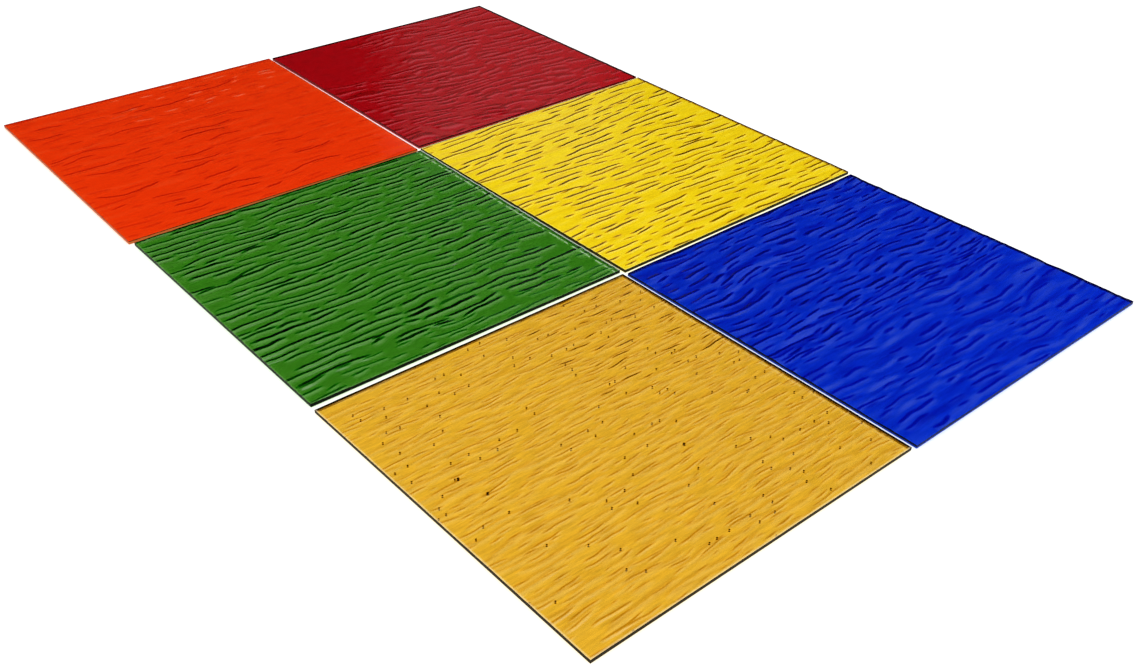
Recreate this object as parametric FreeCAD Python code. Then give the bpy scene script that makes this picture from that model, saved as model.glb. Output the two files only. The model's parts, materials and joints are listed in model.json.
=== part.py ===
import FreeCAD, Part
import math
import os
from collections import namedtuple

# A set of six loose square sheets of rolled, rippled stained glass, laid out flat in two columns and
# three rows. Each sheet is one piece: flat underneath, rippled on top, with four plain cut edges.
# The origin is the middle of the layout at the level of the undersides. +X runs along the ripples,
# +Y runs away from the front row and +Z is up.

# Driving dimensions, in millimetres and degrees.
NOMINAL_SIDE = 304.8        # a 12 inch square, the size that this glass is sold in
GLASS_THICKNESS = 3.0       # from the flat underside to the mean level of the rippled face
SAMPLES_PER_RIPPLE = 6      # surface samples across one ripple
SAMPLE_STEP_ALONG = 12.7    # surface sample spacing along the ripples

# How the rollers leave the ripples: each one swings from side to side and fades in and out.
SWING_LENGTH = 190.0        # length of one slow swing along a ripple
WOBBLE_LENGTH = 73.0        # length of one quick wobble along a ripple
WOBBLE_SHARE = 0.35         # the wobble's size against the swing's
FADE_LENGTH = 120.0         # length over which a ripple fades out and comes back
FADE_DEPTH = 0.45           # share of the relief that is lost where a ripple fades
FADE_SKEW = 37.0            # how quickly the fading shifts from one ripple to the next

# One entry for each sheet. column and row place it in the layout (column 0 is at -X, row 0 is the
# front row), shift and turn are how far it was set down from the regular grid. Each one was cut by
# hand: over is how much its sides along and across the ripples are over the nominal side, or under
# it. The rest is its ripple: spacing from crest to crest, height from trough to crest, and how far it
# swings sideways.
Sheet = namedtuple("Sheet", "node column row shift turn over pitch relief swing")
SHEETS = [
    Sheet("orange_sheet", 0, 2, (-1.8, 3.2), -0.37, (2.0, 4.0), 12.0, 0.30, 3.0),
    Sheet("red_sheet", 1, 2, (3.0, 4.2), -0.10, (-1.5, -2.5), 11.5, 0.60, 5.0),
    Sheet("green_sheet", 0, 1, (-0.3, -1.0), -0.10, (1.0, -3.0), 9.5, 0.60, 3.0),
    Sheet("yellow_sheet", 1, 1, (2.8, -0.3), 0.23, (0.5, 3.5), 9.0, 0.45, 3.0),
    Sheet("amber_sheet", 0, 0, (-2.1, -5.7), 0.15, (-0.5, -1.0), 6.0, 0.20, 2.0),
    Sheet("blue_sheet", 1, 0, (1.5, -6.3), 0.22, (-1.0, -1.5), 10.5, 0.55, 4.0),
]
COLUMNS = 2
ROWS = 3


def surface_height(sheet, x, y):
    """Height of the rippled face above the underside, at a point in the sheet's own frame."""
    swing = math.sin(math.tau * x / SWING_LENGTH + sheet.pitch)
    wobble = math.sin(math.tau * x / WOBBLE_LENGTH + math.tau * y / SWING_LENGTH)
    sideways = sheet.swing * (swing + WOBBLE_SHARE * wobble)
    fade = 0.5 + 0.5 * math.sin(math.tau * x / FADE_LENGTH + math.tau * y / FADE_SKEW)
    strength = 1.0 - FADE_DEPTH * fade
    wave = math.cos(math.tau * (y + sideways) / sheet.pitch)
    return GLASS_THICKNESS + 0.5 * sheet.relief * strength * wave


def even_steps(side, step):
    """Places from one cut edge to the opposite one, as near to step apart as fits evenly."""
    count = max(4, round(side / step))
    return [side * (i / count - 0.5) for i in range(count + 1)]


def rippled_face(sheet):
    """The top of a sheet: one smooth surface through heights sampled on a regular grid."""
    along = even_steps(NOMINAL_SIDE + sheet.over[0], SAMPLE_STEP_ALONG)
    across = even_steps(NOMINAL_SIDE + sheet.over[1], sheet.pitch / SAMPLES_PER_RIPPLE)
    heights = [[surface_height(sheet, x, y) for y in across] for x in along]
    surface = Part.BSplineSurface()
    step_x = along[1] - along[0]
    step_y = across[1] - across[0]
    surface.interpolate(heights, along[0], step_x, across[0], step_y)
    return surface.toShape()


def cut_edge_face(top_edge):
    """The flat cut edge under one side of the rippled face, down to the underside."""
    first, last = (vertex.Point for vertex in top_edge.Vertexes)
    first_foot = FreeCAD.Vector(first.x, first.y, 0)
    last_foot = FreeCAD.Vector(last.x, last.y, 0)
    lines = [
        Part.makeLine(last, last_foot),
        Part.makeLine(last_foot, first_foot),
        Part.makeLine(first_foot, first),
    ]
    return Part.Face(Part.Wire([top_edge] + lines))


def make_sheet(sheet):
    """One sheet as a closed solid, in its place in the layout."""
    top = rippled_face(sheet)
    side_x = NOMINAL_SIDE + sheet.over[0]
    side_y = NOMINAL_SIDE + sheet.over[1]
    underside = Part.makePlane(side_x, side_y, FreeCAD.Vector(-side_x / 2, -side_y / 2, 0))
    cut_edges = [cut_edge_face(edge) for edge in top.Edges]
    solid = Part.Solid(Part.Shell([top, underside] + cut_edges))
    if solid.Volume < 0:
        solid.reverse()
    centre = FreeCAD.Vector(
        (sheet.column - (COLUMNS - 1) / 2) * NOMINAL_SIDE + sheet.shift[0],
        (sheet.row - (ROWS - 1) / 2) * NOMINAL_SIDE + sheet.shift[1],
        0,
    )
    turn = FreeCAD.Rotation(FreeCAD.Vector(0, 0, 1), sheet.turn)
    solid.Placement = FreeCAD.Placement(centre, turn)
    return solid


os.makedirs("parts", exist_ok=True)
for entry in SHEETS:
    make_sheet(entry).exportStep(f"parts/{entry.node}.step")
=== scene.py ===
import json
import math
from collections import namedtuple

import bpy
import numpy as np
from mathutils import Euler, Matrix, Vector


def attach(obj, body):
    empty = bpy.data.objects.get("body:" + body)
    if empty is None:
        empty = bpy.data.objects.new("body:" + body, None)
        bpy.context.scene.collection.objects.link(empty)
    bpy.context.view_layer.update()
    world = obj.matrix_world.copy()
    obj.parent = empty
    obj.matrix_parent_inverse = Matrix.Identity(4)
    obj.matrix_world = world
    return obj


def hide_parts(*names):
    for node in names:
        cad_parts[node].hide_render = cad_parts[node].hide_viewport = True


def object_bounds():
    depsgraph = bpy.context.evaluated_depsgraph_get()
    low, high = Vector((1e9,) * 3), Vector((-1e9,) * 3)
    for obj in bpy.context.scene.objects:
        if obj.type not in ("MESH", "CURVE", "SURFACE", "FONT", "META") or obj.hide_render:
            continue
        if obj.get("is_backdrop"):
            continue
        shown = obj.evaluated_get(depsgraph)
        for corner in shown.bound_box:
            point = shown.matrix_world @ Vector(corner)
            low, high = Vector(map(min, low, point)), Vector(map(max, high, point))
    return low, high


# Six loose sheets of rolled, rippled stained glass, lying flat on a white table under soft light.
# Each sheet is built here as one piece in the place of its CAD solid: a finely gridded rippled top,
# four cut edges with a small arris, and a flat underside. Lengths are in metres, or in mm where noted.

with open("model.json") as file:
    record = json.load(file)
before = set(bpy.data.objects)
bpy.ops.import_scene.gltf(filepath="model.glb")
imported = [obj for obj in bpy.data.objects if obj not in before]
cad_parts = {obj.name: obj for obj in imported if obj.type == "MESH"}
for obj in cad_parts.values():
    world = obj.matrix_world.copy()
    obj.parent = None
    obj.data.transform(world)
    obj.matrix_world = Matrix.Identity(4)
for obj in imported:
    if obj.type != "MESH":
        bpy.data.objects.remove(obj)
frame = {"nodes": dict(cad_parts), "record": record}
cad_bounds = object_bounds()

MM = 0.001
WHITE = (1.0, 1.0, 1.0)
BLACK = (0.0, 0.0, 0.0)

# The grid on the rippled face. It is fine across the ripples and coarse along them.
CELLS_ALONG = 150
CELLS_ACROSS = 520

# The cut edges.
ARRIS = 0.2 * MM            # how far the sharp edges are rubbed back
FOOT_OUT = 0.2 * ARRIS      # how far the underside's corner stands outside the top's
EDGE_WOBBLE = 0.12 * MM     # how far a scored and snapped edge strays from straight
WOBBLE_LENGTH = 17          # mm along the edge from one stray to the next
WOBBLE_SEED = 100           # added to a sheet's own seed
WALL_RINGS = ((1.0, 0.2), (0.72, 1.0), (0.35, 0.4))     # share of the height, and of the wobble there

# The relief under the ripples: layers of smooth noise, each with its size along and across in mm, and
# its share.
FLOW_LAYERS = ((60, 40, 1.0), (24, 18, 0.45))
SWELL_LAYERS = ((38, 9, 1.0), (20, 5, 0.5))
ROLL_SLOPE = 0.08           # slope of the broad relief at which its painted shade or painted sheen is full
ROLL_SHADE = 0.25           # how dark the painted shade on the far-facing slopes of the broad relief gets

# What all ripples have in common. Lengths are in mm.
END_TAPER = 6.0             # length over which a ripple fades in and out at its ends
END_WIDTH = 0.3             # width of a crease at its ends, as a share of its full width
WEAK_WIDTH = 0.4            # width of the weakest crease, as a share of the strongest one's
CREASE_PLACE = 0.35         # how far down the far side of a ripple its crease lies
CREST_REACH = 1.5           # how soon the near side is fully high and its painted sheen full

# How ripples of one family differ from one another. Lengths are in mm.
LENGTH_BIAS = (1.1, 2.4)    # shape of the spread of lengths: most are nearer the shortest
WEAKNESS = 0.6              # how weak a ripple can be
WEAKNESS_BIAS = (0.8, 3.0)  # shape of the spread of weakness: most are strong
ROW_SCATTER = 0.15          # how far a ripple strays from its row, as a share of the pitch
LEAN_SCATTER = 0.03         # how far its lean strays from its family's
SHORTEST_WAVES = (34, 12)   # of a ripple's slow and its quick wiggle
LONGEST_WAVES = (70, 22)
QUICK_SHARE = 0.3           # size of the quick wiggle against the slow one
ARCH_REACH = 20             # how far from its middle a bent ripple is back on its row
AREA_SCATTER = 6            # how ragged the sides of a family's area are
GAP_SCATTER = (0.75, 1.25)  # spread of the gaps between the ripples of a row

# The glass.
GLASS_IOR = 1.52
FULL_MIRROR = 0.5           # the specular level at which glass mirrors as its IOR says
SHEEN_WHITENESS = 0.12            # how far the painted sheen's colour is from the glass's own tint towards white
SHADE_GAIN = 2.0            # the painted crease shade has its full shade colour at 1/SHADE_GAIN of its full darkness
STREAK_CELLS = (16, 2.2)    # length and width of the fine colour streaks, in mm
SPECK_SPACING = 8.0         # mm between bubbles and seeds
SPECK_RADIUS = 0.75         # mm
SPECK_BLUR = 0.4            # softness of their outline, as a share of the radius
COARSE_SPACING = 24.0       # the same for the few large ones
COARSE_RADIUS = 1.125
COARSE_SHARE = 0.5          # how many of them are seen, against the small ones

# Painted highlight lines and shade bands along the borders. A pair of distances is where one begins and
# where it is full, in mm.
RIM_HIGHLIGHT = (1.8, 1.0)
BORDER_SHADE_BAND = (3.2, 2.6)
OUTER_HIGHLIGHT = (2.1, 1.7)
ECHO_INSIDE = (7.4, 6.8)
ECHO_OUTSIDE = (5.2, 5.8)
ECHO_CELLS = (9, 6)         # size of the pieces that the echo is broken into, in mm
ECHO_BREAKS = (0.4, 0.5)    # noise levels at which it is gone and at which it is whole
BORDER_CELLS = (7, 7)       # size of the unevenness of the far and the right lines, in mm
BORDER_STRAY = 0.7          # mm
HIGHLIGHT_WHITENESS = 0.6        # how far a painted highlight line's colour is from the tint towards white
HIGHLIGHT_SHEEN = 0.8             # how much painted sheen a painted highlight line has

# The cut edges' look.
EDGE_DARKNESS = 0.02        # how little of its own colour a cut edge shows
EDGE_ROUGHNESS = 0.35
EDGE_SPECULAR = 0.05
FOOT_CELLS = (9, 9)         # size of the unevenness of the lit foot, in mm
FOOT_BLUR = 0.6             # mm, how soft and how uneven the top of the lit foot is

# The surroundings.
TABLE_REACH = 12.0          # from the middle of the layout to the table's sides
TABLE_DROP = 0.2 * MM       # how far the table is below the undersides
TABLE_WHITE = 0.92
DOME_STRENGTH = 1.3
ROOM_STRENGTH = 0.01        # the dark room that the glass mirrors

# A soft box: its span in azimuth and in elevation, and how soft its sides are, in degrees.
SoftBox = namedtuple("SoftBox", "azimuth side_blur elevation top_blur")
LOW_BOX = SoftBox((32.5, 43), 1.8, (17.5, 26), 1.2)
LOW_BOX_STRENGTH = 0.08
LOW_BOX_TOP = (22, 25)      # elevations between which it gets brighter
LOW_BOX_TOP_STRENGTH = 0.1  # what that adds
HIGH_BOX = SoftBox((-40, 120), 8, (52, 75), 3)
HIGH_BOX_STRENGTH = 1.6

# The camera. Its aim is in degrees.
CAMERA_PLACE = (-0.6357, -0.8154)   # from the middle of the layout
CAMERA_HEIGHT = 0.5547      # above the undersides
CAMERA_HEADING = 41.60      # from +Y towards +X
CAMERA_DOWN = 33.99
CAMERA_ROLL = 1.60
CAMERA_LENS = 38.97         # mm, on a sensor that is SENSOR_WIDTH wide
SENSOR_WIDTH = 36.0
CAMERA_SHIFT = -0.0071
PIXEL_FILTER = 1.4          # pixels, a little soft

# A family of ripples. Each ripple is a long low wave across the sheet: its steep far side carries a
# painted dark shade line, its crease, and its near side a painted sheen. Lengths are in mm.
#   dark      how deep the painted shade along the crease is, from 0 to 1
#   pale how strong the painted sheen on the near side is, from 0 to 1
#   width     of the crease, and blur is how soft its two sides are
#   gather    width of the near side
#   relief    height of the wave
#   pitch     from one row of ripples to the next
#   length    the shortest and the longest ripple
#   cover     share of a row that has a ripple
#   wiggle    how far a ripple strays on its own, and lean is how much it climbs towards +Y
#   area      the part of the sheet that has them, in shares of its side: left, right, near, far
Ripples = namedtuple(
    "Ripples",
    "dark pale width gather relief pitch length cover blur wiggle lean area",
    defaults=(0.7, 0.5, 0.6, 0.0, (0, 1, 0, 1)),
)

# One entry for each sheet.
#   tint      what white light keeps after one pass through the glass
#   shade     the colour of the painted shade along a crease
#   fall      how much brighter the right side and the far side are made than the middle
#   flow      how far all of its ripples swing sideways together, in mm
#   swell     height of the broad soft relief under the ripples, in mm
#   sheen_strength how strong the painted sheen is, made as milkiness, where a ripple's sheen is full
#   rim_highlight how bright the painted highlight line is just inside its near and left borders
#   far       how dark the painted shade band just inside its far border is, and how bright the painted highlight line outside that band
#   right     the same for its right border
#   echo_highlight how bright the broken painted highlight line further in from its right border is
#   streaks   how much its colour varies in fine streaks
#   foot      how high up its cut edges light from the table gets, in mm, and the colour that shows there
#   specks    share of its bubbles and seeds that are large enough to see
#   seed      starts its random draws
#   rows      its families of ripples
SHEETS = {
    "orange_sheet": dict(
        tint=(0.907, 0.180, 0.030), shade=(1.0, 0.2, 0.02), fall=(-0.02, 0.0), flow=4.0, swell=0.05,
        sheen_strength=0.3, rim_highlight=0.0, far=(0.5, 0.0), right=(0.0, 0.0), echo_highlight=0.0, streaks=0.25, specks=0.01,
        foot=(2.4, (0.50, 0.12, 0.03)), seed=11,
        rows=[
            Ripples(0.18, 0.1, 3.4, 4.0, 0.12, 10.0, (10, 50), cover=0.45, blur=1.8),
            Ripples(0.42, 0.15, 2.8, 4.0, 0.15, 13.0, (16, 90), cover=0.38, blur=1.2, wiggle=1.1,
                    area=(0.05, 0.75, 0.05, 0.95)),
            Ripples(0.1, 1.0, 1.6, 4.0, 0.08, 11.0, (9, 28), cover=0.3, area=(0.3, 0.95, 0.74, 1)),
        ],
    ),
    "red_sheet": dict(
        tint=(0.615, 0.022, 0.056), shade=(1.0, 0.02, 0.1), fall=(0.2, 0.0), flow=6.0, swell=0.03,
        sheen_strength=0.26, rim_highlight=0.0, far=(0.96, 0.0), right=(0.96, 0.0), echo_highlight=0.0, streaks=0.3, specks=0.0,
        foot=(1.9, (0.20, 0.005, 0.01)), seed=12,
        rows=[
            Ripples(0.4, 1.0, 4.6, 6.0, 0.14, 9.5, (20, 90), cover=0.8, blur=2.6, wiggle=0.9, lean=-0.05,
                    area=(0.38, 1, 0, 1)),
            Ripples(0.46, 1.0, 4.6, 6.0, 0.14, 9.5, (14, 60), cover=0.8, blur=2.4, lean=-0.13,
                    area=(0, 0.45, 0, 0.6)),
            Ripples(0.16, 0.2, 4.0, 5.0, 0.12, 10.0, (12, 45), cover=0.6, blur=2.5,
                    area=(0, 0.42, 0.5, 1)),
        ],
    ),
    "green_sheet": dict(
        tint=(0.172, 0.412, 0.080), shade=(0.05, 1.0, 0.05), fall=(0.0, 0.05), flow=3.0, swell=0.06,
        sheen_strength=0.3, rim_highlight=0.15, far=(0.7, 0.0), right=(0.98, 0.75), echo_highlight=0.6, streaks=0.35, specks=0.03,
        foot=(0.2, (0.05, 0.12, 0.03)), seed=13,
        rows=[
            Ripples(1.0, 0.95, 3.3, 5.6, 0.5, 8.6, (14, 100), cover=0.92, area=(0, 1, 0.07, 1)),
            Ripples(0.7, 0.9, 2.2, 4.5, 0.3, 6.5, (12, 60), cover=0.6, area=(0, 1, 0, 0.09)),
        ],
    ),
    "yellow_sheet": dict(
        tint=(0.95, 0.81, 0.075), shade=(1.0, 0.5, 0.01), fall=(0.0, 0.0), flow=2.5, swell=0.09,
        sheen_strength=0.45, rim_highlight=0.25, far=(0.0, 0.6), right=(0.8, 0.0), echo_highlight=0.0, streaks=0.45, specks=0.02,
        foot=(0.0, (0.10, 0.10, 0.04)), seed=14,
        rows=[
            Ripples(0.9, 1.0, 2.3, 3.6, 0.2, 8.6, (9, 50), cover=0.75, area=(0, 0.35, 0, 0.3)),
            Ripples(0.85, 0.9, 2.5, 3.6, 0.2, 8.8, (12, 90), cover=0.78, lean=-0.03,
                    area=(0.35, 1, 0, 0.3)),
            Ripples(0.9, 1.0, 2.7, 3.8, 0.2, 8.8, (12, 90), cover=0.82, lean=-0.03,
                    area=(0, 1, 0.3, 0.65)),
            Ripples(0.9, 1.0, 2.9, 3.8, 0.2, 9.6, (14, 100), cover=0.82, lean=0.05,
                    area=(0, 1, 0.65, 1)),
        ],
    ),
    "amber_sheet": dict(
        tint=(0.838, 0.615, 0.140), shade=(1.0, 0.56, 0.03), fall=(-0.06, 0.0), flow=2.5, swell=0.05,
        sheen_strength=0.26, rim_highlight=0.45, far=(0.9, 0.0), right=(0.9, 0.0), echo_highlight=0.25, streaks=0.9, specks=0.22,
        foot=(0.3, (0.10, 0.06, 0.02)), seed=15,
        rows=[
            Ripples(0.1, 0.6, 3.0, 5.0, 0.1, 6.5, (20, 90), cover=0.7, blur=1.8),
            Ripples(0.32, 1.0, 1.4, 2.4, 0.09, 4.4, (6, 40), cover=0.5, blur=0.6),
            Ripples(0.88, 0.7, 1.6, 2.5, 0.15, 9.0, (8, 34), cover=0.42, blur=0.5,
                    area=(0.6, 1, 0.58, 1)),
        ],
    ),
    "blue_sheet": dict(
        tint=(0.030, 0.140, 0.710), shade=(0.02, 0.05, 1.0), fall=(0.12, -0.12), flow=5.0, swell=0.3,
        sheen_strength=0.11, rim_highlight=0.0, far=(0.9, 0.0), right=(0.96, 0.0), echo_highlight=0.0, streaks=0.6, specks=0.0,
        foot=(1.3, (0.006, 0.03, 0.35)), seed=16,
        rows=[
            Ripples(0.72, 1.0, 2.8, 5.0, 0.28, 8.4, (12, 70), cover=0.75, blur=1.2, area=(0, 1, 0.4, 1)),
            Ripples(0.42, 0.9, 2.7, 5.5, 0.26, 9.0, (12, 60), cover=0.62, blur=1.5, area=(0, 1, 0, 0.5)),
        ],
    ),
}


# ---------------------------------------------------------------- where each sheet lies

def sheet_place(node):
    """Centre, half sides, and unit vectors along and across the ripples, from the CAD underside."""
    points = np.array([v.co for v in frame["nodes"][node].data.vertices])
    foot = points[points[:, 2] < ARRIS][:, :2]
    near_left = foot[np.argmin(foot[:, 0] + foot[:, 1])]
    near_right = foot[np.argmax(foot[:, 0] - foot[:, 1])]
    far_left = foot[np.argmin(foot[:, 0] - foot[:, 1])]
    side_along = np.linalg.norm(near_right - near_left)
    side_across = np.linalg.norm(far_left - near_left)
    along = (near_right - near_left) / side_along
    across = np.array([-along[1], along[0]])
    half = np.array([side_along, side_across]) / 2
    return (near_right + far_left) / 2, half, along, across


def glass_thickness(colour):
    """From the underside to the mean level of the ripples: an edge mount sits halfway up its edge."""
    for mount in frame["record"]["mounts"]:
        if mount["name"].startswith(colour) and mount["name"].endswith("edge"):
            return 2 * mount["pos_m"][2]
    raise ValueError(f"no edge mount for {colour}")


# ---------------------------------------------------------------- the rippled face

def soft_noise(x, y, cell_x, cell_y, rng):
    """Smooth noise between -1 and 1 at the points x, y, with features about cell_x by cell_y across."""
    gx = x / cell_x
    gy = y / cell_y
    ix = np.floor(gx).astype(int)
    iy = np.floor(gy).astype(int)
    low_x, low_y = ix.min(), iy.min()
    knots = rng.uniform(-1, 1, (ix.max() - low_x + 2, iy.max() - low_y + 2))
    fx = gx - ix
    fy = gy - iy
    fx = fx * fx * (3 - 2 * fx)
    fy = fy * fy * (3 - 2 * fy)
    ix = ix - low_x
    iy = iy - low_y
    near = knots[ix, iy] * (1 - fx) + knots[ix + 1, iy] * fx
    far = knots[ix, iy + 1] * (1 - fx) + knots[ix + 1, iy + 1] * fx
    return near * (1 - fy) + far * fy


def layered_noise(x, y, layers, rng):
    """Smooth noise in several layers: for each one, its size along and across, and its share."""
    return sum(share * soft_noise(x, y, along, across, rng) for along, across, share in layers)


def ripple_line(middle, level, slope, bend, wiggle, waves, phases):
    """A function that gives how far across the sheet a ripple lies, at any place along it."""
    def line(x):
        slow, quick = (np.sin(math.tau * x / wave + phase) for wave, phase in zip(waves, phases))
        arch = bend * (1 - ((x - middle) / ARCH_REACH) ** 2)
        return level + slope * (x - middle) + wiggle * (slow + QUICK_SHARE * quick) + arch

    return line


def scatter_ripples(family, half, rng):
    """Yields the ripples of one family: start and end along the sheet, strength, and its line."""
    left, right = (half[0] * (2 * share - 1) for share in family.area[:2])
    near, far = (half[1] * (2 * share - 1) for share in family.area[2:])
    shortest, longest = family.length
    for row in range(round((far - near) / family.pitch)):
        base = near + (row + 0.5) * family.pitch
        start = left - rng.uniform(0, longest)
        while start < right:
            length = shortest + (longest - shortest) * rng.beta(*LENGTH_BIAS)
            strength = 1 - WEAKNESS * rng.beta(*WEAKNESS_BIAS)
            middle = start + length / 2
            level = base + rng.normal(0, ROW_SCATTER) * family.pitch
            slope = family.lean + rng.normal(0, LEAN_SCATTER)
            bend = rng.normal(0, 1.0) * family.wiggle
            waves = rng.uniform(SHORTEST_WAVES, LONGEST_WAVES)
            phases = rng.uniform(0, math.tau, 2)
            if left < middle + rng.normal(0, AREA_SCATTER) < right:
                line = ripple_line(middle, level, slope, bend, family.wiggle, waves, phases)
                yield start, start + length, strength, line
            start += length / family.cover * rng.uniform(*GAP_SCATTER)


def ripple_field(look, half):
    """The grid's points, and at each one the relief's height in mm, its painted shade and its painted
    sheen.
    """
    rng = np.random.default_rng(look["seed"])
    x = np.linspace(-half[0], half[0], CELLS_ALONG + 1)
    y = np.linspace(-half[1], half[1], CELLS_ACROSS + 1)
    gx, gy = np.meshgrid(x, y, indexing="ij")
    flow = look["flow"] * layered_noise(gx, gy, FLOW_LAYERS, rng)
    height = look["swell"] * layered_noise(gx, gy + flow, SWELL_LAYERS, rng)
    # The broad relief gets painted sheen where it faces the near side and painted shade where it faces
    # the far side.
    roll = np.gradient(height, gy[0], axis=1) / ROLL_SLOPE
    shade_and_specks = np.clip(-roll, 0, 1) * ROLL_SHADE
    pale = np.clip(roll, 0, 1)
    for family in look["rows"]:
        for start, end, strength, line in scatter_ripples(family, half, rng):
            columns = np.where((x > start) & (x < end))[0]
            reach = np.minimum(x[columns] - start, end - x[columns])[:, None]
            taper = np.sqrt(np.clip(reach / END_TAPER, 0, 1))
            presence = strength * taper
            distance = gy[columns] + flow[columns] - line(x[columns])[:, None]
            width = family.width * (END_WIDTH + (1 - END_WIDTH) * taper)
            width *= WEAK_WIDTH + (1 - WEAK_WIDTH) * strength
            from_core = np.abs(distance - CREASE_PLACE * family.width)
            core = np.clip((width / 2 - from_core) / family.blur + 0.5, 0, 1)
            near_side = np.clip(CREST_REACH * (1 + distance / family.gather), 0, 1) * (distance < 0)
            far_side = np.clip(1 - distance / family.width, 0, 1) * (distance >= 0)
            # Painted shade along the crease, and a painted sheen on the near side.
            shade_and_specks[columns] = np.maximum(shade_and_specks[columns], family.dark * presence * core)
            pale[columns] = np.maximum(pale[columns], family.pale * presence * near_side)
            wave = near_side + far_side
            height[columns] += family.relief * presence * wave * wave * (3 - 2 * wave)
    return gx, gy, height - height.mean(), 1 - (1 - shade_and_specks) ** 2, pale


# ---------------------------------------------------------------- meshes

def ring_of(columns, rows):
    """Grid indices round the border, counter-clockwise from the near left corner."""
    near = [(i, 0) for i in range(columns)]
    right = [(columns, j) for j in range(rows)]
    far = [(i, rows) for i in range(columns, 0, -1)]
    left = [(0, j) for j in range(rows, 0, -1)]
    return np.array(near + right + far + left)


def wall_rings(top, half, rng):
    """The cut edges as rings from just under the rippled face down to the underside, in sheet metres."""
    on_side = np.abs(top[:, :2]) > half - 1.5 * ARRIS   # the rippled face ends ARRIS inside the sides
    outward = np.sign(np.where(on_side, top[:, :2], 0))
    along = np.where(on_side[:, 0], top[:, 1], top[:, 0]) / MM
    side_row = 9 * outward[:, 0] + 5 * outward[:, 1]    # a row of the noise for each side and corner
    wobble = EDGE_WOBBLE * soft_noise(along, side_row, WOBBLE_LENGTH, 1, rng)
    rings = []
    for share, stray in WALL_RINGS:
        ring = top.copy()
        ring[:, 2] = ARRIS + share * (top[:, 2] - 2 * ARRIS)
        ring[:, :2] += outward * (ARRIS + stray * wobble[:, None] - EDGE_WOBBLE)
        rings.append(ring)
    foot = top.copy()
    foot[:, 2] = 0
    foot[:, :2] += outward * FOOT_OUT
    lip = rings[-1].copy()
    lip[:, 2] = ARRIS
    return rings + [lip, foot]


def top_and_wall_faces(border, ring_count):
    """Quads over the grid and down its walls, and the rings that the walls run through."""
    grid_count = (CELLS_ALONG + 1) * (CELLS_ACROSS + 1)
    index = np.arange(grid_count).reshape(CELLS_ALONG + 1, CELLS_ACROSS + 1)
    cells = np.stack([index[:-1, :-1], index[1:, :-1], index[1:, 1:], index[:-1, 1:]], axis=2)
    rings = [index[border[:, 0], border[:, 1]]]
    for level in range(ring_count):     # these vertices follow those of the grid
        rings.append(grid_count + level * len(border) + np.arange(len(border)))
    walls = [
        np.stack([upper, lower, np.roll(lower, -1), np.roll(upper, -1)], axis=1)
        for upper, lower in zip(rings, rings[1:])
    ]
    return cells.reshape(-1, 4), np.concatenate(walls), rings


def fill_mesh(mesh, points, top_faces, wall_faces, underside):
    """Puts the points and the faces in. Only the top is smooth, and only the walls have material 1."""
    quads = np.concatenate([top_faces, wall_faces])
    mesh.vertices.add(len(points))
    mesh.vertices.foreach_set("co", points.ravel())
    mesh.loops.add(quads.size + len(underside))
    mesh.loops.foreach_set("vertex_index", np.concatenate([quads.ravel(), underside]))
    mesh.polygons.add(len(quads) + 1)
    mesh.polygons.foreach_set("loop_start", np.append(np.arange(len(quads)) * 4, quads.size))
    smooth = np.zeros(len(quads) + 1, bool)
    smooth[: len(top_faces)] = True
    mesh.polygons.foreach_set("use_smooth", smooth)
    mesh.update(calc_edges=True)
    is_cut_edge = np.zeros(len(quads) + 1, np.int32)
    is_cut_edge[len(top_faces): len(quads)] = 1
    mesh.polygons.foreach_set("material_index", is_cut_edge)


def sheet_mesh(node, look):
    """The mesh of one sheet. Its attributes tell the materials where it has painted shade and painted
    sheen, how much brighter or darker it is made there, and the place in the sheet in mm."""
    centre, half, along, across = sheet_place(node)
    thickness = glass_thickness(node.split("_")[0])
    gx, gy, height, shade_and_specks, pale = ripple_field(look, half / MM)
    rng = np.random.default_rng(look["seed"] + WOBBLE_SEED)
    shrink = (half - ARRIS) / half
    top = np.stack([gx * MM * shrink[0], gy * MM * shrink[1], thickness + height * MM], axis=2)
    border = ring_of(CELLS_ALONG, CELLS_ACROSS)
    walls = wall_rings(top[border[:, 0], border[:, 1]], half, rng)
    local = np.concatenate([top.reshape(-1, 3)] + walls)
    world = local.copy()
    world[:, :2] = centre + local[:, :1] * along + local[:, 1:2] * across

    mesh = bpy.data.meshes.new(node.replace("_sheet", "_glass"))
    top_faces, wall_faces, rings = top_and_wall_faces(border, len(walls))
    fill_mesh(mesh, world, top_faces, wall_faces, underside=rings[-1][::-1])
    mark_arris(mesh, rings[0])
    below_top = np.zeros(len(walls) * len(border))
    rightward, backward = look["fall"]
    gain = 1 + rightward * gx * MM / half[0] + backward * gy * MM / half[1]
    for label, values, rest in (("shade_and_specks", shade_and_specks, 0.0), ("pale", pale, 0.0), ("gain", gain, 1.0)):
        add_attribute(mesh, label, np.concatenate([values.ravel(), below_top + rest]))
    place = mesh.attributes.new("place", "FLOAT_VECTOR", "POINT")
    place.data.foreach_set("vector", (local / MM).ravel())
    return mesh


def mark_arris(mesh, upper_ring):
    """Keeps the shading of the rippled face apart from that of the cut edges."""
    on_border = np.zeros(len(mesh.vertices), bool)
    on_border[upper_ring] = True
    ends = np.empty(len(mesh.edges) * 2, np.int32)
    mesh.edges.foreach_get("vertices", ends)
    mesh.edges.foreach_set("use_edge_sharp", on_border[ends.reshape(-1, 2)].all(axis=1))


def add_attribute(mesh, name, values):
    """Stores one number for each vertex, for a material to read."""
    attribute = mesh.attributes.new(name, "FLOAT", "POINT")
    attribute.data.foreach_set("value", values.astype(np.float32))


# ---------------------------------------------------------------- materials

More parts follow.
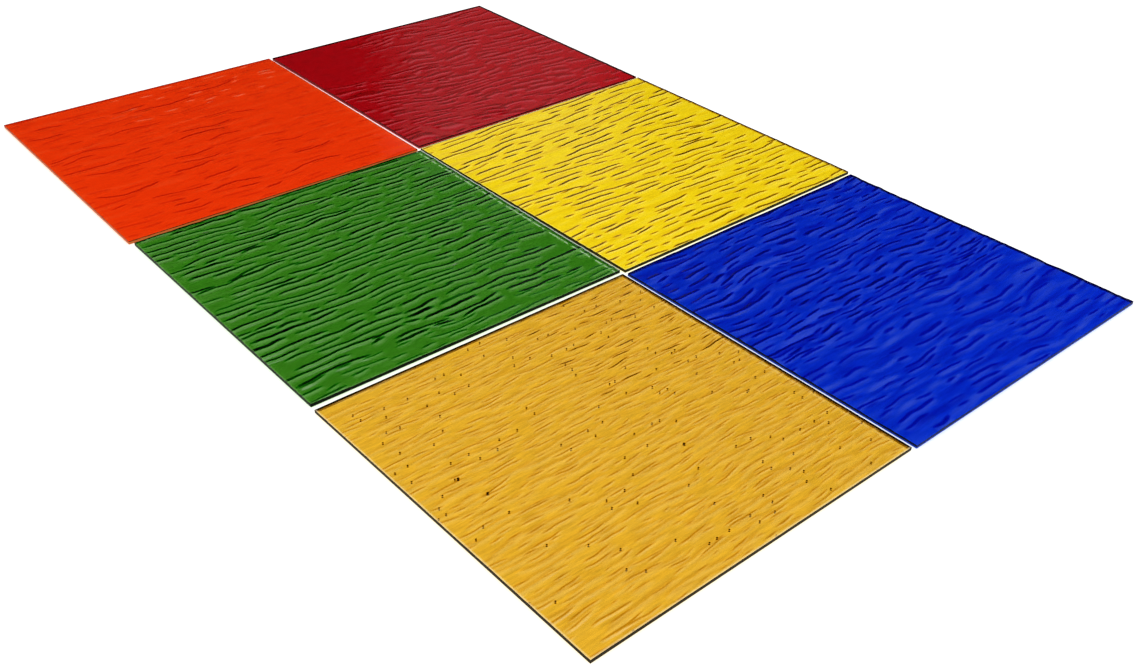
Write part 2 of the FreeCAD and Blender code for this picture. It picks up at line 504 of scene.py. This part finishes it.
class Nodes:
    """A short way to build a node tree."""

    def __init__(self, tree):
        self.tree = tree
        tree.nodes.clear()

    def add(self, kind, **settings):
        node = self.tree.nodes.new(kind)
        for name, value in settings.items():
            setattr(node, name, value)
        return node

    def link(self, source, target):
        self.tree.links.new(source, target)

    def maths(self, operation, a, b=None, clamp=False):
        """One operation on numbers or sockets."""
        node = self.add("ShaderNodeMath", operation=operation, use_clamp=clamp)
        for socket, value in zip(node.inputs, (a, b)):
            if value is None:
                continue
            if isinstance(value, (int, float)):
                socket.default_value = value
            else:
                self.link(value, socket)
        return node.outputs[0]

    def attribute(self, name, output="Fac"):
        """What the mesh stores under that name."""
        return self.add("ShaderNodeAttribute", attribute_name=name).outputs[output]

    def split(self, vector):
        """Its x, y and z."""
        node = self.add("ShaderNodeSeparateXYZ")
        self.link(vector, node.inputs[0])
        return node.outputs

    def ramp(self, value, zero_at, one_at):
        """0 at zero_at, 1 at one_at, smooth between and level beyond. Either may be the larger."""
        node = self.add("ShaderNodeMapRange", interpolation_type="SMOOTHSTEP")
        self.link(value, node.inputs["Value"])
        node.inputs["From Min"].default_value = zero_at
        node.inputs["From Max"].default_value = one_at
        return node.outputs["Result"]

    def noise(self, place, along, across):
        """Noise between 0 and 1 with features that many mm long and wide."""
        scaled = self.add("ShaderNodeVectorMath", operation="MULTIPLY")
        self.link(place, scaled.inputs[0])
        scaled.inputs[1].default_value = (1 / along, 1 / across, 1 / across)
        noise = self.add("ShaderNodeTexNoise")
        self.link(scaled.outputs[0], noise.inputs["Vector"])
        noise.inputs["Scale"].default_value = 1.0
        return noise.outputs["Fac"]

    def specks(self, place, spacing, radius, share):
        """1 inside round specks in some of the cells of a loose net, 0 elsewhere. Lengths are in mm."""
        net = self.add("ShaderNodeTexVoronoi", voronoi_dimensions="2D")
        self.link(place, net.inputs["Vector"])
        net.inputs["Scale"].default_value = 1 / spacing
        share_of_cell = radius / spacing
        outer = (1 + SPECK_BLUR) * share_of_cell
        inner = (1 - SPECK_BLUR) * share_of_cell
        spot = self.ramp(net.outputs["Distance"], outer, inner)
        chosen = self.maths("LESS_THAN", net.outputs["Color"], share)
        return self.maths("MULTIPLY", spot, chosen)

    def mix_colour(self, factor, a, b, blend="MIX"):
        """Mixes two colours, each of them a socket, a grey level or a colour."""
        node = self.add("ShaderNodeMix", data_type="RGBA", blend_type=blend)
        sockets = (node.inputs[0], node.inputs[6], node.inputs[7])      # its factor and two colours
        for socket, value in zip(sockets, (factor, a, b)):
            if isinstance(value, bpy.types.NodeSocket):
                self.link(value, socket)
            elif isinstance(value, (int, float)):
                socket.default_value = value
            else:
                socket.default_value = (*value, 1.0)
        return node.outputs[2]


def new_material(name):
    """An empty material and its node tree."""
    material = bpy.data.materials.new(name)
    material.use_nodes = True
    return material, Nodes(material.node_tree)


def lets_lamps_through(n, surface, tint):
    """Shows surface to the eye, and lets rays from lamps and from the table straight through."""
    clear = n.add("ShaderNodeBsdfTransparent")
    clear.inputs["Color"].default_value = (*tint, 1.0)
    path = n.add("ShaderNodeLightPath")
    passes = n.maths("MAXIMUM", path.outputs["Is Shadow Ray"], path.outputs["Is Diffuse Ray"])
    mix = n.add("ShaderNodeMixShader")
    n.link(passes, mix.inputs[0])
    n.link(surface, mix.inputs[1])
    n.link(clear.outputs[0], mix.inputs[2])
    n.link(mix.outputs[0], n.add("ShaderNodeOutputMaterial").inputs["Surface"])


def painted_border_lines(n, place, half, look):
    """Painted shade and painted highlights along the four borders. Lengths are in mm."""
    x, y, _ = n.split(place)
    stray = n.maths("MULTIPLY", n.noise(place, *BORDER_CELLS), BORDER_STRAY)
    to_near_left = n.maths("MINIMUM", n.maths("ADD", x, half[0]), n.maths("ADD", y, half[1]))
    to_right = n.maths("ADD", n.maths("SUBTRACT", half[0], x), stray)
    to_far = n.maths("ADD", n.maths("SUBTRACT", half[1], y), stray)
    line_highlight = n.maths("MULTIPLY", n.ramp(to_near_left, *RIM_HIGHLIGHT), look["rim_highlight"])
    dark = 0.0
    for distance, (band, line) in ((to_right, look["right"]), (to_far, look["far"])):
        in_band = n.maths("MULTIPLY", n.ramp(distance, *BORDER_SHADE_BAND), band)
        dark = n.maths("MAXIMUM", dark, in_band)
        in_line = n.maths("MULTIPLY", n.ramp(distance, *OUTER_HIGHLIGHT), line)
        line_highlight = n.maths("MAXIMUM", line_highlight, in_line)
    broken = n.ramp(n.noise(place, *ECHO_CELLS), *ECHO_BREAKS)
    echo_highlight = n.maths("MULTIPLY", n.ramp(to_right, *ECHO_OUTSIDE), n.ramp(to_right, *ECHO_INSIDE))
    echo_highlight = n.maths("MULTIPLY", n.maths("MULTIPLY", echo_highlight, broken), look["echo_highlight"])
    return dark, n.maths("MAXIMUM", line_highlight, echo_highlight)


def glass_material(name, look, half):
    """The rippled face and the underside: clear coloured glass with a painted sheen, made as milkiness,
    on the near side of each ripple, painted shade along its steep far side, and painted lines along the
    borders."""
    material, n = new_material(name)
    tint = np.array(look["tint"])
    sheen_colour = tuple(tint + SHEEN_WHITENESS * (1 - tint))
    shade_and_specks, pale, gain = (n.attribute(label) for label in ("shade_and_specks", "pale", "gain"))
    place = n.attribute("place", "Vector")
    streaks = n.maths("SUBTRACT", n.noise(place, *STREAK_CELLS), 0.5)
    gain = n.maths("ADD", gain, n.maths("MULTIPLY", streaks, look["streaks"]))
    fine = n.specks(place, SPECK_SPACING, SPECK_RADIUS, look["specks"])
    coarse = n.specks(place, COARSE_SPACING, COARSE_RADIUS, look["specks"] * COARSE_SHARE)
    speck = n.maths("MAXIMUM", fine, coarse)
    border_shade, border_highlight = painted_border_lines(n, place, half, look)
    # Adds the specks, which are seeds and bubbles in the glass, and the painted shade bands along the
    # borders.
    shade_and_specks = n.maths("MAXIMUM", shade_and_specks, speck)
    shade_and_specks = n.maths("MAXIMUM", shade_and_specks, border_shade)
    even = n.mix_colour(1.0, tuple(tint), gain, blend="MULTIPLY")
    # Painted sheen: the near side of a ripple is made paler.
    colour = n.mix_colour(pale, even, sheen_colour)
    # Painted crease shade: first its shade colour, then darker.
    shade = n.mix_colour(n.maths("MULTIPLY", shade_and_specks, SHADE_GAIN, clamp=True), WHITE, look["shade"])
    colour = n.mix_colour(1.0, colour, shade, blend="MULTIPLY")
    colour = n.mix_colour(shade_and_specks, colour, BLACK)
    # Painted highlight lines along the borders.
    colour = n.mix_colour(border_highlight, colour, tuple(tint + HIGHLIGHT_WHITENESS * (1 - tint)))
    clear_of_shade_and_specks = n.maths("SUBTRACT", 1.0, shade_and_specks)
    # The painted sheen and the painted highlight lines are also made by letting part of the face take
    # the dome's light diffusely.
    sheen_share = n.maths("MULTIPLY", n.maths("MULTIPLY", pale, clear_of_shade_and_specks), look["sheen_strength"])
    sheen_share = n.maths("MAXIMUM", sheen_share, n.maths("MULTIPLY", border_highlight, HIGHLIGHT_SHEEN))

    glass = n.add("ShaderNodeBsdfPrincipled")
    n.link(n.maths("SUBTRACT", 1.0, sheen_share), glass.inputs["Transmission Weight"])
    glass.inputs["Roughness"].default_value = 0.0
    glass.inputs["IOR"].default_value = GLASS_IOR
    # The painted crease shade also takes the mirroring away there, so it stays dark.
    n.link(n.maths("MULTIPLY", clear_of_shade_and_specks, FULL_MIRROR), glass.inputs["Specular IOR Level"])
    n.link(colour, glass.inputs["Base Color"])
    lets_lamps_through(n, glass.outputs[0], np.sqrt(tint))
    return material


def cut_edge_material(name, look):
    """The cut edges. What is seen through them has come a long way inside, so they look dark."""
    material, n = new_material(name)
    tint = np.array(look["tint"])
    place = n.attribute("place", "Vector")
    _, _, z = n.split(place)
    height = n.maths("ADD", z, n.maths("MULTIPLY", n.noise(place, *FOOT_CELLS), FOOT_BLUR))
    lit_height, lit_colour = look["foot"]
    lit = n.ramp(height, lit_height + FOOT_BLUR, lit_height)
    colour = n.mix_colour(lit, tuple(EDGE_DARKNESS * tint ** 2), lit_colour)
    edge = n.add("ShaderNodeBsdfPrincipled")
    n.link(colour, edge.inputs["Base Color"])
    edge.inputs["Roughness"].default_value = EDGE_ROUGHNESS
    edge.inputs["Specular IOR Level"].default_value = EDGE_SPECULAR
    lets_lamps_through(n, edge.outputs[0], WHITE)
    return material


# ---------------------------------------------------------------- sheets

def make_sheet(node, look):
    """One sheet with its materials, riding on its body in place of its CAD solid."""
    mesh = sheet_mesh(node, look)
    colour = node.split("_")[0]
    half = sheet_place(node)[1] / MM
    mesh.materials.append(glass_material(f"{colour}_glass", look, half))
    mesh.materials.append(cut_edge_material(f"{colour}_cut_edge", look))
    piece = bpy.data.objects.new(f"{colour}_glass", mesh)
    bpy.context.scene.collection.objects.link(piece)
    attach(piece, colour)
    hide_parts(node)


for sheet_node, sheet_look in SHEETS.items():
    make_sheet(sheet_node, sheet_look)


# ---------------------------------------------------------------- table, light and camera

def make_table():
    """A plain white table top, just under the sheets and far larger than the view."""
    signs = ((-1, -1), (1, -1), (1, 1), (-1, 1))
    corners = [(x * TABLE_REACH, y * TABLE_REACH, -TABLE_DROP) for x, y in signs]
    mesh = bpy.data.meshes.new("table")
    mesh.from_pydata(corners, [], [(0, 1, 2, 3)])
    material, n = new_material("table_white")
    white = n.add("ShaderNodeBsdfDiffuse")
    white.inputs["Color"].default_value = (TABLE_WHITE, TABLE_WHITE, TABLE_WHITE, 1.0)
    n.link(white.outputs[0], n.add("ShaderNodeOutputMaterial").inputs["Surface"])
    mesh.materials.append(material)
    table = bpy.data.objects.new("table", mesh)
    bpy.context.scene.collection.objects.link(table)
    table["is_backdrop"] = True


def make_light():
    """An even white dome gives the light. What the glass mirrors is a dark room with two soft boxes."""
    world = bpy.data.worlds.new("studio")
    bpy.context.scene.world = world
    world.use_nodes = True
    n = Nodes(world.node_tree)
    x, y, z = n.split(n.add("ShaderNodeTexCoord").outputs["Generated"])
    azimuth = n.maths("ARCTAN2", x, y)
    elevation = n.maths("ARCSINE", z)

    def step(angle, start, end):
        return n.ramp(angle, math.radians(start), math.radians(end))

    def inside(angle, low, high, blur):
        rise = step(angle, low - blur, low + blur)
        fall = step(angle, high - blur, high + blur)
        return n.maths("SUBTRACT", rise, fall, clamp=True)

    def soft_box(box, strength):
        sides = inside(azimuth, *box.azimuth, box.side_blur)
        ends = inside(elevation, *box.elevation, box.top_blur)
        return n.maths("MULTIPLY", n.maths("MULTIPLY", sides, ends), strength)

    brighter_top = n.maths("MULTIPLY", step(elevation, *LOW_BOX_TOP), LOW_BOX_TOP_STRENGTH)
    low_strength = n.maths("ADD", LOW_BOX_STRENGTH, brighter_top)
    boxes = n.maths("ADD", soft_box(LOW_BOX, low_strength), soft_box(HIGH_BOX, HIGH_BOX_STRENGTH))
    mirrored = n.maths("ADD", boxes, ROOM_STRENGTH)

    path = n.add("ShaderNodeLightPath")
    strength = n.add("ShaderNodeMix", data_type="FLOAT")
    n.link(path.outputs["Is Glossy Ray"], strength.inputs[0])
    strength.inputs[2].default_value = DOME_STRENGTH
    n.link(mirrored, strength.inputs[3])
    background = n.add("ShaderNodeBackground")
    background.inputs["Color"].default_value = (*WHITE, 1.0)
    n.link(strength.outputs[0], background.inputs["Strength"])
    n.link(background.outputs[0], n.add("ShaderNodeOutputWorld").inputs["Surface"])
    world.cycles.sampling_method = "NONE"


def make_camera():
    """The camera stands off the amber sheet's near left corner and looks down across the layout."""
    low, high = cad_bounds
    middle = (Vector(low) + Vector(high)) / 2
    data = bpy.data.cameras.new("camera")
    data.sensor_width = SENSOR_WIDTH
    data.lens = CAMERA_LENS
    data.shift_x = CAMERA_SHIFT
    data.clip_end = 4 * TABLE_REACH
    camera = bpy.data.objects.new("camera", data)
    x, y = CAMERA_PLACE
    camera.location = (middle.x + x, middle.y + y, CAMERA_HEIGHT)
    heading = math.radians(CAMERA_HEADING)
    down = math.radians(CAMERA_DOWN)
    roll = math.radians(CAMERA_ROLL)
    look = Euler((math.pi / 2 - down, 0, -heading)).to_matrix()
    camera.rotation_euler = (look @ Euler((0, 0, roll)).to_matrix()).to_euler()
    bpy.context.scene.collection.objects.link(camera)
    bpy.context.scene.camera = camera


make_table()
make_light()
make_camera()
bpy.context.scene.view_settings.view_transform = "Standard"
bpy.context.scene.cycles.filter_width = PIXEL_FILTER

boxes = {"cad": cad_bounds, "visual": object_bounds()}
{name: [list(corner) for corner in box] for name, box in boxes.items()}
